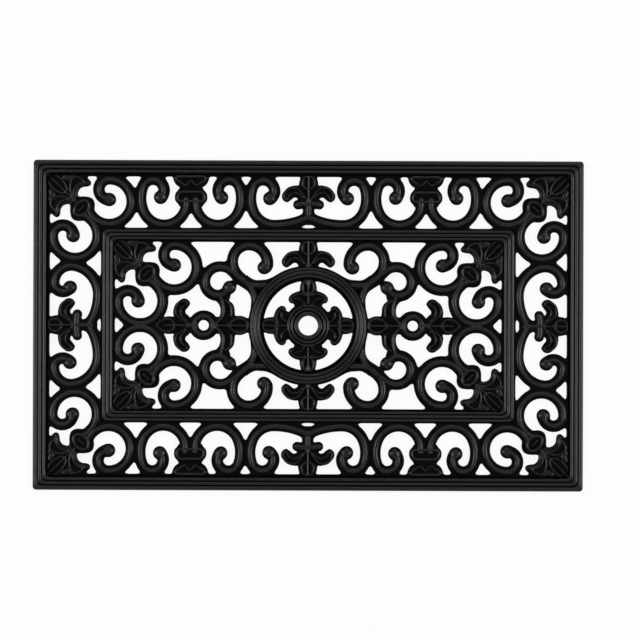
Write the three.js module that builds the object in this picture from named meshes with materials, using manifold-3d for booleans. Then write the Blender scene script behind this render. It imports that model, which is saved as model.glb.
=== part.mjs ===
// An openwork doormat, moulded from black rubber in the pattern of a wrought-iron scroll grille.
// Lengths are in millimetres. The mat lies on z = 0 with its centre at the origin, its long side
// along X and its ribs facing up. It is symmetric about both axes, so each motif is drawn once,
// in shares of the space that it fills, and placed wherever the pattern repeats it.
import * as THREE from 'three';
import { mergeVertices } from 'three/addons/utils/BufferGeometryUtils.js';
import Module from 'manifold-3d';

const wasm = await Module();
wasm.setup();

// Overall size
const matLength = 750;
const matWidth = 450;
const matThickness = 9;
const cornerRadius = 5;

// The two rails and the scroll border between them
const outerRailWidth = 21;
const borderWidth = 72.5;
const innerRailWidth = 16.5;

// Scroll bands: a round bead on a low flange, ending in a round eye
const bandWidth = 12.6;
const beadWidth = 7.4;
const eyeRadius = 8;

// Heights below the crests of the beads and ribs
const flangeHeight = 5.4;
const grooveHeight = 7;
const leafHeight = 8.2;

// Medallion ring and hubs
const ringWidth = 18;
const hubRadius = 28;
const hubHoleRadius = 14.5;
const sideHubRadius = 20;
const sideHubHoleRadius = 7;

// Parting line between neighbouring pieces, and how far a cut runs past what it cuts
const partingGap = 0.3;
const overrun = 4;

// How far a facet may stand off its arc, and how finely round pieces are cut
const arcSag = 2.4;
const ringSteps = 24;
const hubSteps = 12;
const sideHubSteps = 9;
const eyeSteps = 5;
const barEndSteps = 2;
const cornerSteps = 4;

const halfGap = partingGap / 2;
const halfLength = matLength / 2;
const halfWidth = matWidth / 2;
const borderOuterX = halfLength - outerRailWidth;
const borderOuterY = halfWidth - outerRailWidth;
const borderInnerX = borderOuterX - borderWidth;
const borderInnerY = borderOuterY - borderWidth;
const fieldX = borderInnerX - innerRailWidth;
const fieldY = borderInnerY - innerRailWidth;

// A corner motif reaches along each rail by a share of the border's width. What is left of the
// long side is shared by an urn motif and half of the centre motif.
const cornerReachShare = 1.634;
const centreRunShare = 0.361;
const cornerReach = borderWidth * cornerReachShare;
const longRun = borderOuterX - cornerReach;
const shortRun = borderOuterY - cornerReach;
const centreRun = longRun * centreRunShare;
const urnRun = longRun - centreRun;

// Motifs are stretched to their runs from these plain lengths, in shares of the border's width
const plainCentreShare = 1.173;
const plainUrnShare = 2.076;
const plainShortShare = 1.18;

// The field inside the inner rail: the ring and the motifs follow its half width, and what lies
// between the ring and the field's ends stretches along X with the room there
const ringRadiusShare = 0.7;
const ringRadius = fieldY * ringRadiusShare;
const ringInnerRadius = ringRadius - ringWidth;
const sideRoom = fieldX - ringRadius;
const motifUpShare = 0.63;
const motifAlongShare = 0.3927;
const motifUp = fieldY * motifUpShare;
const motifAlong = sideRoom * motifAlongShare;
const springUpShare = 0.478;
const springAlongShare = 0.298;
const springUp = fieldY * springUpShare;
const springAlong = sideRoom * springAlongShare;
const sideHubShare = 0.3364;
const sideHubX = ringRadius + sideRoom * sideHubShare;

// How far up its frame a fleur stands on the ring, or sits on a hub. The fleur on the ring spreads
// as far as the curls beside it leave room. The side hub's fleur reaches to where the corner
// scrolls meet, and its palmette to the ring.
const fleurFootShare = 0.476;
const fleurSeatShare = 0.525;
const scrollMeetShare = 0.939;
const palmetteReachShare = 0.856;
const curlReachShare = 0.573;
const fleurSpreadShare = 1.4795;
const fieldFleurUnit = (fieldY - ringRadius) / fleurFootShare;
const fieldFleurAlong = (ringRadius - springAlong * curlReachShare) * fleurSpreadShare;
const sideFleurReach = fieldX - motifAlong * scrollMeetShare - sideHubX - sideHubRadius;
const sideFleurUnit = sideFleurReach / (1 - fleurSeatShare);
const sidePalmetteUnit = (sideHubX - ringRadius) / palmetteReachShare;

const rubber = { color: 0x1c1b1d, roughness: 0.55, metalness: 0, flatShading: true };

// Scroll paths. An arc is a radius share and the degrees that it turns to the left, and one
// that turns by nothing is a straight run of that share.
const centreScroll = {
  startShares: [0, 0.232],
  heading: -27,
  arcShares: [[1.42, 27], [0.42, 65], [0.621, 43], [0.2, 162], [0.11, 55]],
};
const sideScroll = {
  startShares: [0, 0.259],
  heading: -35,
  arcShares: [[1, 35], [0.51, 104], [0.283, 76], [0.193, 90], [0.13, 80]],
};
const urnScroll = {
  startShares: [0.093, 0.56],
  heading: -90,
  arcShares: [[0.07, 0], [0.414, 155], [0.621, 45], [0.197, 160], [0.11, 55]],
};
const cornerScroll = {
  startShares: [0.754, 0.67],
  heading: 65,
  arcShares: [[0.42, -245], [0.228, -90], [0.172, -112]],
};
const curlScroll = {
  startShares: [-0.805, 1.073],
  heading: 30,
  arcShares: [[0.3, -60], [0.609, 120], [0.418, 180], [0.146, 0]],
};
const hookScroll = {
  startShares: [-0.111, 0.473],
  heading: 90,
  arcShares: [[0.115, 0], [0.399, -47], [0.727, 0], [0.328, -262], [0.084, 0]],
};

// Outlines of leaves and plates, in shares of the same frames. Those that are cut by the axis
// are drawn on one side of it, from the axis to the axis. A spine has a leaf's half width as a
// third share at each place.
const budShares = [[0, 1.02], [0.145, 1.02], [0.179, 0.82], [0.125, 0.735], [0, 0.66]];
const petalSpineShares = [
  [0.06, 0.56, 0.1], [0.2, 0.71, 0.094], [0.39, 0.67, 0.09], [0.452, 0.535, 0.035],
];
const stemSpineShares = [[0, 0.2, 0.087], [0, 0.7, 0.087]];
const collarShares = { halfLength: 0.197, height: 0.476, radius: 0.072 };
const claspShares = [
  [0, 1.02], [0.32, 1.02], [0.3, 0.876], [0.195, 0.78], [0.285, 0.67], [0.29, 0.54],
  [0.2, 0.43], [0, 0.43],
];
const claspBarShares = { halfLength: 0.15, height: 0.607, radius: 0.1 };
const claspSlotShares = { halfLength: 0.12, height: 0.607, radius: 0.035 };
const claspSpineShares = [
  [-0.21, 0.9, 0.04], [-0.1, 0.83, 0.04], [0, 0.9, 0.04], [0.1, 0.83, 0.04], [0.21, 0.9, 0.04],
];
const cornerWebShares = [
  [-0.05, -0.05], [0.5, -0.05], [0.43, 0.35], [0.6, 0.6], [0.35, 0.43], [-0.05, 0.5],
];
const cornerLeafShares = [
  [0.01, 0.01], [0.15, 0.02], [0.26, 0.1], [0.325, 0.2], [0.33, 0.33], [0.2, 0.325],
  [0.1, 0.26], [0.02, 0.15],
];
const curledSpineShares = [
  [0.54, 0.49, 0.075], [0.46, 0.3, 0.075], [0.54, 0.1, 0.13], [0.65, -0.02, 0.14],
];
const knotShares = { from: [0.712, 0.528], to: [0.528, 0.712], radius: 0.114 };
const knotSlotShares = { from: [0.65, 0.55], to: [0.55, 0.65], radius: 0.04 };
const palmetteBudShares = [[0, 1.02], [0.13, 1.02], [0.176, 0.784], [0.144, 0.688], [0, 0.6]];
const lobeSpineShares = [
  [0.02, 0.53, 0.13], [0.2, 0.57, 0.15], [0.34, 0.572, 0.1], [0.42, 0.565, 0.04],
];
const palmetteSpineShares = [[0, 0.2, 0.06], [0, 0.98, 0.06]];
const sideBudShares = [[0, 0.9], [0.12, 0.9], [0.17, 0.78], [0.18, 0.55], [0.1, 0.45], [0, 0.4]];
const risingSpineShares = [
  [0.02, 0.36, 0.12], [0.11, 0.425, 0.155], [0.22, 0.442, 0.13], [0.36, 0.44, 0.115],
  [0.57, 0.35, 0.085],
];
const sideSpineShares = [[0, 0.12, 0.05], [0, 0.88, 0.05]];

// Ribs of the mouldings: centre and half width, in shares of the moulding's width
const outerRibShares = [[0.16, 0.15], [0.457, 0.129], [0.738, 0.133]];
const innerRibShares = [[0.17, 0.15], [0.485, 0.152], [0.79, 0.14]];
const ringRibShares = [[0.16, 0.13], [0.43, 0.132], [0.715, 0.138]];
const hubRibShares = [[0.37, 0.2], [0.81, 0.17]];
const sideHubRibShares = [[0.55, 0.25]];

// How much of a rib is its flat crown, and where a plate's raised crest starts
const ribCrownShare = 0.45;
const leafCrestShare = 0.6;
const barCrestShare = 0.8;

// Solids and cuts

function toSolid(geometry) {
  geometry.deleteAttribute('normal');
  geometry.deleteAttribute('uv');
  const merged = mergeVertices(geometry);
  const index = merged.index.array;
  const faces = [];
  for (let i = 0; i < index.length; i += 3) {
    const [a, b, c] = index.slice(i, i + 3);
    if (a !== b && b !== c && c !== a) {
      faces.push(a, b, c);
    }
  }
  const mesh = new wasm.Mesh({
    numProp: 3,
    vertProperties: new Float32Array(merged.attributes.position.array),
    triVerts: new Uint32Array(faces),
  });
  return new wasm.Manifold(mesh);
}

function toGeometry(solid) {
  const mesh = solid.getMesh();
  const geometry = new THREE.BufferGeometry();
  geometry.setAttribute('position', new THREE.BufferAttribute(mesh.vertProperties, mesh.numProp));
  geometry.setIndex(new THREE.BufferAttribute(mesh.triVerts, 1));
  return geometry;
}

function joined(solids) {
  return solids.reduce((whole, solid) => whole.add(solid));
}

// A block through the mat, between near and far on the given side of its middle
function block(side, near, far, minY, maxY) {
  const height = matThickness + 2 * overrun;
  const box = new THREE.BoxGeometry(far - near, maxY - minY, height);
  box.translate((side * (near + far)) / 2, (minY + maxY) / 2, matThickness / 2);
  return toSolid(box);
}

function frameBlock(reachX, reachY) {
  return block(1, -reachX, reachX, -reachY, reachY);
}

function drum(radius, steps, centreX = 0) {
  const height = matThickness + 2 * overrun;
  const cylinder = new THREE.CylinderGeometry(radius, radius, height, steps);
  cylinder.rotateX(Math.PI / 2);
  cylinder.translate(centreX, 0, matThickness / 2);
  return toSolid(cylinder);
}

// Rings of points joined by faces and closed at both ends. The section that they follow runs
// anticlockwise, as seen along the direction in which the rings follow each other.
function loft(rings, section) {
  const count = section.length;
  const positions = rings.flat().flatMap((point) => [point.x, point.y, point.z]);
  const faces = [];
  for (let ring = 0; ring + 1 < rings.length; ring += 1) {
    for (let k = 0; k < count; k += 1) {
      const a = ring * count + k;
      const b = ring * count + ((k + 1) % count);
      faces.push(a, a + count, b, b, a + count, b + count);
    }
  }
  const last = (rings.length - 1) * count;
  for (const [i, j, k] of THREE.ShapeUtils.triangulateShape(section, [])) {
    faces.push(i, j, k);
    faces.push(last + i, last + k, last + j);
  }
  const geometry = new THREE.BufferGeometry();
  geometry.setAttribute('position', new THREE.Float32BufferAttribute(positions, 3));
  geometry.setIndex(faces);
  return toSolid(geometry);
}

// A frame turns a pair of shares, along and up, into a place on the mat
function frameAt(originX, originY, alongX, alongY, upX, upY) {
  const point = ([u, v]) => new THREE.Vector2(
    originX + u * alongX + v * upX,
    originY + u * alongY + v * upY,
  );
  const direction = (angle) => new THREE.Vector2(
    Math.cos(angle) * alongX + Math.sin(angle) * upX,
    Math.cos(angle) * alongY + Math.sin(angle) * upY,
  ).normalize();
  return { point, direction, unit: Math.hypot(upX, upY) };
}

// The stops along a scroll's path, one list for each arc
function pathOf(frame, { startShares, heading, arcShares }) {
  let [u, v] = startShares;
  let angle = THREE.MathUtils.degToRad(heading);
  const stop = () => ({ point: frame.point([u, v]), tangent: frame.direction(angle) });
  return arcShares.map(([size, turnDegrees]) => {
    const turn = THREE.MathUtils.degToRad(turnDegrees);
    const widestTurn = 2 * Math.acos(1 - Math.min(arcSag / (frame.unit * size), 1));
    const count = Math.max(1, Math.ceil(Math.abs(turn) / widestTurn));
    const part = turn / count;
    const chord = turn === 0 ? size : 2 * size * Math.sin(Math.abs(part) / 2);
    const stops = [stop()];
    for (let i = 0; i < count; i += 1) {
      u += chord * Math.cos(angle + part / 2);
      v += chord * Math.sin(angle + part / 2);
      angle += part;
      stops.push(stop());
    }
    return stops;
  });
}

// A section that stands across a path, with its first axis to the right of the path
function ringAt({ point, tangent }, section) {
  return section.map(({ x, y }) => (
    new THREE.Vector3(point.x + x * tangent.y, point.y - x * tangent.x, y)
  ));
}

function sweep(stops, section) {
  return loft(stops.map((stop) => ringAt(stop, section)), section);
}

const bandSection = [
  new THREE.Vector2(-bandWidth / 2, 0),
  new THREE.Vector2(bandWidth / 2, 0),
  new THREE.Vector2(bandWidth / 2, flangeHeight),
  new THREE.Vector2(beadWidth / 2, flangeHeight),
  new THREE.Vector2(0, matThickness),
  new THREE.Vector2(-beadWidth / 2, flangeHeight),
  new THREE.Vector2(-bandWidth / 2, flangeHeight),
];

function ridgeSection(half, crest) {
  return [
    new THREE.Vector2(-half, 0),
    new THREE.Vector2(half, 0),
    new THREE.Vector2(half, flangeHeight),
    new THREE.Vector2(0, crest),
    new THREE.Vector2(-half, flangeHeight),
  ];
}

// A wall through the mat, with the given clearance around a width
function wallSection(width, clearance) {
  const half = width / 2 + clearance;
  return [
    new THREE.Vector2(-half, -overrun),
    new THREE.Vector2(half, -overrun),
    new THREE.Vector2(half, matThickness + overrun),
    new THREE.Vector2(-half, matThickness + overrun),
  ];
}

function sweptArcs(frame, drawing, section) {
  return joined(pathOf(frame, drawing).map((stops) => sweep(stops, section)));
}

// A scroll: its band, and the round eye that the band winds into
function scroll(frame, drawing) {
  const { point } = pathOf(frame, drawing).at(-1).at(-1);
  const profile = [
    new THREE.Vector2(0, 0),
    new THREE.Vector2(eyeRadius, 0),
    new THREE.Vector2(eyeRadius, flangeHeight),
    new THREE.Vector2(0, matThickness),
  ];
  const eye = new THREE.LatheGeometry(profile, eyeSteps);
  eye.rotateX(Math.PI / 2);
  eye.translate(point.x, point.y, 0);
  return sweptArcs(frame, drawing, bandSection).add(toSolid(eye));
}

// A leaf or stem that rises to a crest along its spine
function spine(frame, placeShares, crest) {
  const points = placeShares.map((place) => frame.point(place));
  const rings = points.map((point, i) => {
    const before = points[Math.max(i - 1, 0)];
    const after = points[Math.min(i + 1, points.length - 1)];
    const tangent = after.clone().sub(before).normalize();
    const halfShare = placeShares[i][2];
    return ringAt({ point, tangent }, ridgeSection(halfShare * frame.unit, crest));
  });
  return loft(rings, ridgeSection(frame.unit, crest));
}

// A plate between two heights, whose top may rise to a crest inside its edge
function plate(frame, outlineShares, base, top, crestShare = 1, crest = top) {
  const outline = outlineShares.map((place) => frame.point(place));
  if (THREE.ShapeUtils.isClockWise(outline)) {
    outline.reverse();
  }
  const middle = new THREE.Vector2();
  outline.forEach((point) => middle.addScaledVector(point, 1 / outline.length));
  const level = (share, height) => outline.map((point) => {
    const place = middle.clone().lerp(point, share);
    return new THREE.Vector3(place.x, place.y, height);
  });
  const rings = [level(1, top), level(1, base)];
  return loft(crestShare < 1 ? [level(crestShare, crest), ...rings] : rings, outline);
}

function leaf(frame, outlineShares) {
  return plate(frame, outlineShares, 0, flangeHeight, leafCrestShare, leafHeight);
}

// Both halves of an outline that is drawn from the axis to the axis
function wholeOutline(halfShares) {
  const mirrored = halfShares.slice(1, -1).map(([u, v]) => [-u, v]);
  return [...halfShares, ...mirrored.reverse()];
}

// The outline of a bar with round ends
function barOutline([fromU, fromV], [toU, toV], radius) {
  const facing = Math.atan2(toV - fromV, toU - fromU) - Math.PI / 2;
  const endAt = (centreU, centreV, start) => {
    const places = [];
    for (let i = 0; i <= barEndSteps; i += 1) {
      const angle = start + (Math.PI * i) / barEndSteps;
      places.push([centreU + radius * Math.cos(angle), centreV + radius * Math.sin(angle)]);
    }
    return places;
  };
  return [...endAt(toU, toV, facing), ...endAt(fromU, fromV, facing + Math.PI)];
}

function levelBar({ halfLength: half, height, radius }) {
  return barOutline([-half, height], [half, height], radius);
}

function raisedBar(frame, outlineShares) {
  return plate(frame, outlineShares, 0, flangeHeight, barCrestShare, matThickness);
}

function slot(frame, outlineShares) {
  return plate(frame, outlineShares, grooveHeight, matThickness + overrun);
}

// Ribbed mouldings. The profile runs from one edge to the other, with a groove between ribs.
function ribbedProfile(width, ribShares) {
  const profile = [new THREE.Vector2(0, 0), new THREE.Vector2(0, flangeHeight)];
  ribShares.forEach(([centreShare, halfShare], index) => {
    const foot = (neighbour) => (neighbour in ribShares ? grooveHeight : flangeHeight);
    const across = (share) => (centreShare + halfShare * share) * width;
    profile.push(
      new THREE.Vector2(across(-1), foot(index - 1)),
      new THREE.Vector2(across(-ribCrownShare), matThickness),
      new THREE.Vector2(across(ribCrownShare), matThickness),
      new THREE.Vector2(across(1), foot(index + 1)),
    );
  });
  profile.push(new THREE.Vector2(width, flangeHeight), new THREE.Vector2(width, 0));
  return profile;
}

// The rail on the +Y side, mitred at both ends, with its outer edge at reach
function mitredRail(width, ribShares, halfSpan, reach) {
  const section = ribbedProfile(width, ribShares).reverse();
  const mitre = partingGap * Math.SQRT1_2;
  const end = (side) => section.map(({ x, y }) => (
    new THREE.Vector3(side * (halfSpan - x - mitre), reach - x, y)
  ));
  return loft([end(-1), end(1)], section);
}

function moulding(outerRadius, innerRadius, ribShares, steps, centreX = 0) {
  const profile = ribbedProfile(outerRadius - innerRadius, ribShares)
    .map(({ x, y }) => new THREE.Vector2(outerRadius - x, y));
  profile.push(profile[0].clone());
  const lathe = new THREE.LatheGeometry(profile, steps);
  lathe.rotateX(Math.PI / 2);
  lathe.translate(centreX, 0, 0);
  return toSolid(lathe);
}

// The mat's rounded outline, as seen by a rail that is drawn on the +Y side
function roundedOutline(reachX, reachY) {
  const shape = new THREE.Shape();
  const x = reachX - cornerRadius;
  const y = reachY - cornerRadius;
  shape.absarc(x, y, cornerRadius, 0, Math.PI / 2);
  shape.absarc(-x, y, cornerRadius, Math.PI / 2, Math.PI);
  shape.absarc(-x, -y, cornerRadius, Math.PI, (Math.PI * 3) / 2);
  shape.absarc(x, -y, cornerRadius, (Math.PI * 3) / 2, Math.PI * 2);
  const geometry = new THREE.ExtrudeGeometry(shape, {
    depth: matThickness + 2 * overrun,
    bevelEnabled: false,
    curveSegments: cornerSteps,
  });
  geometry.translate(0, 0, -overrun);
  return toSolid(geometry);
}

function outerRail(halfSpan, reach) {
  return mitredRail(outerRailWidth, outerRibShares, halfSpan, reach)
    .intersect(roundedOutline(halfSpan, reach));
}

function innerRail(halfSpan, reach) {
  return mitredRail(innerRailWidth, innerRibShares, halfSpan, reach);
}

// The spaces that the motifs fill, each a parting line short of the rails and the ring
const borderSpace = frameBlock(borderOuterX - partingGap, borderOuterY - partingGap)
  .subtract(frameBlock(borderInnerX + partingGap, borderInnerY + partingGap));
const fieldSpace = frameBlock(fieldX - partingGap, fieldY - partingGap)
  .subtract(drum(ringRadius + partingGap, ringSteps));

// A bud between two curled petals, on a stem
function fleur(frame, mirrorFrame) {
  return joined([
    leaf(frame, wholeOutline(budShares)),
    spine(frame, petalSpineShares, leafHeight),
    spine(mirrorFrame, petalSpineShares, leafHeight),
    spine(frame, stemSpineShares, leafHeight),
  ]);
}

// Two scrolls that part from the axis, with a fleur between them on a collar
function lyre(frame, mirrorFrame, drawing) {
  return joined([
    scroll(frame, drawing),
    scroll(mirrorFrame, drawing),
    fleur(frame, mirrorFrame),
    raisedBar(frame, levelBar(collarShares)),
  ]);
}

function centreMotif() {
  const along = centreRun / plainCentreShare;
  const frames = [1, -1].map((way) => frameAt(0, borderInnerY, way * along, 0, 0, borderWidth));
  const reach = centreRun - halfGap;
  return lyre(...frames, centreScroll)
    .intersect(borderSpace)
    .intersect(block(1, -reach, reach, 0, halfWidth));
}

function sideMotif() {
  const along = shortRun / plainShortShare;
  const frames = [1, -1].map((way) => frameAt(borderInnerX, 0, 0, way * along, borderWidth, 0));
  const reach = shortRun - halfGap;
  return lyre(...frames, sideScroll)
    .intersect(borderSpace)
    .intersect(block(1, 0, halfLength, -reach, reach));
}

// Two scrolls that hang from a clasp under the outer rail
function urnMotif(side) {
  const middle = side * (centreRun + urnRun / 2);
  const along = urnRun / plainUrnShare;
  const [frame, mirrorFrame] = [1, -1].map((way) => (
    frameAt(middle, borderInnerY, way * along, 0, 0, borderWidth)
  ));
  return joined([
    scroll(frame, urnScroll),
    scroll(mirrorFrame, urnScroll),
    plate(frame, wholeOutline(claspShares), 0, flangeHeight),
    raisedBar(frame, levelBar(claspBarShares)).subtract(slot(frame, levelBar(claspSlotShares))),
    spine(frame, claspSpineShares, matThickness),
  ])
    .intersect(borderSpace)
    .intersect(block(side, centreRun + halfGap, longRun - halfGap, 0, halfWidth));
}

// The frames of a corner's two legs along the rails. The end is 1 at the back, -1 in front.
function cornerFrames(side, cornerX, cornerY, along, up, end = 1) {
  return [
    frameAt(side * cornerX, end * cornerY, -side * along, 0, 0, -end * up),
    frameAt(side * cornerX, end * cornerY, 0, -end * up, -side * along, 0),
  ];
}

// Two scrolls that spring from a knot on the diagonal, under a spray of three leaves
function cornerSpray(frame, turnedFrame) {
  const knot = raisedBar(frame, barOutline(knotShares.from, knotShares.to, knotShares.radius));
  const groove = slot(
    frame,
    barOutline(knotSlotShares.from, knotSlotShares.to, knotSlotShares.radius),
  );
  return joined([
    scroll(frame, cornerScroll),
    scroll(turnedFrame, cornerScroll),
    plate(frame, cornerWebShares, 0, flangeHeight),
    spine(frame, curledSpineShares, leafHeight),
    spine(turnedFrame, curledSpineShares, leafHeight),
    leaf(frame, cornerLeafShares),
    knot.subtract(groove),
  ]);
}

function borderCorner(side) {
  return cornerSpray(...cornerFrames(side, borderOuterX, borderOuterY, borderWidth, borderWidth))
    .intersect(borderSpace)
    .intersect(block(side, longRun + halfGap, halfLength, shortRun + halfGap, halfWidth));
}

function fieldCorner(side) {
  return cornerSpray(...cornerFrames(side, fieldX, fieldY, motifAlong, motifUp))
    .intersect(fieldSpace)
    .intersect(block(side, 0, fieldX, halfGap, fieldY));
}

// Scrolls that spring from the ring. Where the two run side by side, each keeps its bead.
function springFrame(side, end = 1) {
  return frameAt(side * ringRadius, 0, side * springAlong, 0, 0, end * springUp);
}

function hookWall(side, end = 1) {
  return sweptArcs(springFrame(side, end), hookScroll, wallSection(bandWidth, partingGap));
}

function ringCurl(side) {
  const frame = springFrame(side);
  const core = sweptArcs(frame, curlScroll, wallSection(beadWidth, 0));
  return scroll(frame, curlScroll)
    .subtract(hookWall(side).subtract(core))
    .intersect(fieldSpace);
}

function cornerWall(side, end = 1) {
  return joined(cornerFrames(side, fieldX, fieldY, motifAlong, motifUp, end)
    .map((frame) => sweptArcs(frame, cornerScroll, wallSection(bandWidth, partingGap))));
}

function ringHook(side) {
  const frame = springFrame(side);
  const curl = sweptArcs(frame, curlScroll, wallSection(beadWidth, partingGap));
  return scroll(frame, hookScroll)
    .subtract(curl)
    .subtract(cornerWall(side))
    .intersect(fieldSpace);
}

// A fleur that stands on the ring under the middle of the inner rail
function fieldFleur() {
  const foot = fieldY - fieldFleurUnit;
  const frames = [1, -1].map((way) => (
    frameAt(0, foot, way * fieldFleurAlong, 0, 0, fieldFleurUnit)
  ));
  return fleur(...frames).intersect(fieldSpace);
}

// Four palmettes around a hub, inside the ring
function rosette() {
  const palmettes = [0, 1, 2, 3].map((quarter) => {
    const angle = (Math.PI / 2) * quarter;
    const x = ringInnerRadius * Math.cos(angle);
    const y = ringInnerRadius * Math.sin(angle);
    const frame = frameAt(0, 0, y, -x, x, y);
    return joined([
      leaf(frame, wholeOutline(palmetteBudShares)),
      spine(frame, lobeSpineShares, leafHeight),
      spine(frameAt(0, 0, -y, x, x, y), lobeSpineShares, leafHeight),
      spine(frame, palmetteSpineShares, matThickness),
    ]).subtract(drum((hubRadius + hubHoleRadius) / 2, hubSteps));
  });
  return joined([
    ...palmettes,
    moulding(hubRadius, hubHoleRadius, hubRibShares, hubSteps),
  ]).intersect(drum(ringInnerRadius - partingGap, ringSteps));
}

// A small hub between the ring and the corner scrolls, with a fleur that points away from the
// ring, a bud that meets the ring, and a leaf that rises on each side of the bud
function sideRosette() {
  const [frame, mirrorFrame] = [1, -1].map((way) => (
    frameAt(sideHubX, 0, 0, way * motifUp, -sidePalmetteUnit, 0)
  ));
  const fleurX = sideHubX + sideHubRadius - sideFleurUnit * fleurSeatShare;
  const fleurFrames = [1, -1].map((way) => frameAt(fleurX, 0, 0, way * motifUp, sideFleurUnit, 0));
  const leaves = joined([
    fleur(...fleurFrames),
    leaf(frame, wholeOutline(sideBudShares)),
    spine(frame, risingSpineShares, leafHeight),
    spine(mirrorFrame, risingSpineShares, leafHeight),
    spine(frame, sideSpineShares, leafHeight),
  ]);
  const walls = joined([1, -1].flatMap((end) => [hookWall(1, end), cornerWall(1, end)]));
  const hub = moulding(sideHubRadius, sideHubHoleRadius, sideHubRibShares, sideHubSteps, sideHubX);
  return leaves
    .subtract(walls)
    .subtract(drum((sideHubRadius + sideHubHoleRadius) / 2, sideHubSteps, sideHubX))
    .add(hub)
    .intersect(fieldSpace);
}

// The mat, named by where its pieces lie: front and back along Y, left and right along X

const doormat = new THREE.Group();
doormat.name = 'doormat';

function place(name, geometry, angle = 0) {
  const mesh = new THREE.Mesh(geometry, new THREE.MeshStandardMaterial(rubber));
  mesh.name = name;
  mesh.rotation.z = angle;
  doormat.add(mesh);
}

// A piece on the axis, and its copy on the far side of the mat
function placePair(name, solid, [near, far]) {
  const geometry = toGeometry(solid);
  place(`${name}_${near}`, geometry);
  place(`${name}_${far}`, geometry, Math.PI);
}

// A piece in the back right quarter, and its copies in the other quarters
function placeQuarters(name, pieceOn) {
  const plain = toGeometry(pieceOn(1));
  const mirrored = toGeometry(pieceOn(-1));
  place(`${name}_back_right`, plain);
  place(`${name}_back_left`, mirrored);
  place(`${name}_front_left`, plain, Math.PI);
  place(`${name}_front_right`, mirrored, Math.PI);
}

function placeRails(name, longRail, shortRail) {
  placePair(name, longRail, ['back', 'front']);
  const geometry = toGeometry(shortRail);
  place(`${name}_left`, geometry, Math.PI / 2);
  place(`${name}_right`, geometry, -Math.PI / 2);
}

placeRails('outer_rail', outerRail(halfLength, halfWidth), outerRail(halfWidth, halfLength));
placeRails(
  'inner_rail',
  innerRail(borderInnerX, borderInnerY),
  innerRail(borderInnerY, borderInnerX),
);
placePair('border_centre', centreMotif(), ['back', 'front']);
placePair('border_centre', sideMotif(), ['right', 'left']);
placeQuarters('border_urn', urnMotif);
placeQuarters('border_corner', borderCorner);
placeQuarters('field_corner', fieldCorner);
placeQuarters('ring_curl', ringCurl);
placeQuarters('ring_hook', ringHook);
placePair('field_fleur', fieldFleur(), ['back', 'front']);
placePair('side_rosette', sideRosette(), ['right', 'left']);
place('centre_rosette', toGeometry(rosette()));
place('centre_ring', toGeometry(moulding(ringRadius, ringInnerRadius, ringRibShares, ringSteps)));

export default doormat;
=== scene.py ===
"""An openwork doormat, moulded from black rubber in the pattern of a wrought-iron scroll grille.

The mat's lengths are in millimetres until a mesh is made, and the stage's are in metres. The mat
lies on z = 0 with its centre at the origin and its long side along X, and it is symmetric about
both axes. So its ornament is drawn once, in the quarter where x and y are positive, and mirrored
into the others. The quarter is one relief: an outline that the flat mesh is cut along, and a
height at each place inside it. Both are blended from the shapes of all the motifs, so
neighbouring pieces meet as parts of one moulding.
"""

import math

import bpy
import numpy as np
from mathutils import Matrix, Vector


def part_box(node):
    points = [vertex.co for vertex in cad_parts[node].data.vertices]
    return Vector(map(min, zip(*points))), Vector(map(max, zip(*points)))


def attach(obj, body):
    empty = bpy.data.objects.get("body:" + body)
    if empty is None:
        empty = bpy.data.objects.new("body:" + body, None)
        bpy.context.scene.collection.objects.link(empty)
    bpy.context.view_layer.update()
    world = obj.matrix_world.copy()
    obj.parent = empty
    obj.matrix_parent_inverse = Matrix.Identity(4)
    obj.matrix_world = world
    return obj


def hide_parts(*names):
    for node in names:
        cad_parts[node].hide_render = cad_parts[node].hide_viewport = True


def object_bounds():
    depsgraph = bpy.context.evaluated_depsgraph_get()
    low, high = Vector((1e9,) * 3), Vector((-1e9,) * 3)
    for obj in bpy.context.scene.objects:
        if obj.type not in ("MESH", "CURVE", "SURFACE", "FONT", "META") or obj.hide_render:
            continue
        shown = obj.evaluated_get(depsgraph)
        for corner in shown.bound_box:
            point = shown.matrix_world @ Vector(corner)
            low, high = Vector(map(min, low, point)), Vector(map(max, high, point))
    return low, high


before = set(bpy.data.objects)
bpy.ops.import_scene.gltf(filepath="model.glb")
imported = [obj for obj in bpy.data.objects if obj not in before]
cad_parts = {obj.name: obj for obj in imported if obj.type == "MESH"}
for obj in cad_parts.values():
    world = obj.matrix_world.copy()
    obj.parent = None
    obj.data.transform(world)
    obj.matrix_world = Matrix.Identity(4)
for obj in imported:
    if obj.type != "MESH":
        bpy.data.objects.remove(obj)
cad_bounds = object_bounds()

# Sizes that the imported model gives
METRE = 1000.0


def box_of(node):
    """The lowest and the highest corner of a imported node."""
    return [np.array(corner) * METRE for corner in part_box(node)]


mat_high = np.array(cad_bounds[1]) * METRE
long_rail_low = box_of("outer_rail_back")[0]
side_rail_low = box_of("outer_rail_right")[0]
inner_low, inner_high = box_of("inner_rail_back")
inner_side_low, inner_side_high = box_of("inner_rail_right")
half_length, half_width, thickness = mat_high
border_outer_x = side_rail_low[0]
border_outer_y = long_rail_low[1]
border_inner_x = inner_side_high[0]
border_inner_y = inner_high[1]
field_x = inner_side_low[0]
field_y = inner_low[1]
border_width = border_outer_y - border_inner_y
ring_radius = box_of("centre_ring")[1][0]

# Where the side hub lies on the way from the ring to the inner rail
side_hub_share = 0.3364
side_hub_x = ring_radius + side_hub_share * (field_x - ring_radius)

# Runs of the border's motifs: the corner's in shares of the border's width, and half of the
# centre's in shares of the way from the middle to the corner's
corner_share = 1.634
centre_share = 0.361
corner_run = corner_share * border_width
long_run = border_outer_x - corner_run
short_run = border_outer_y - corner_run
centre_run = centre_share * long_run
urn_middle = (centre_run + long_run) / 2

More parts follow.
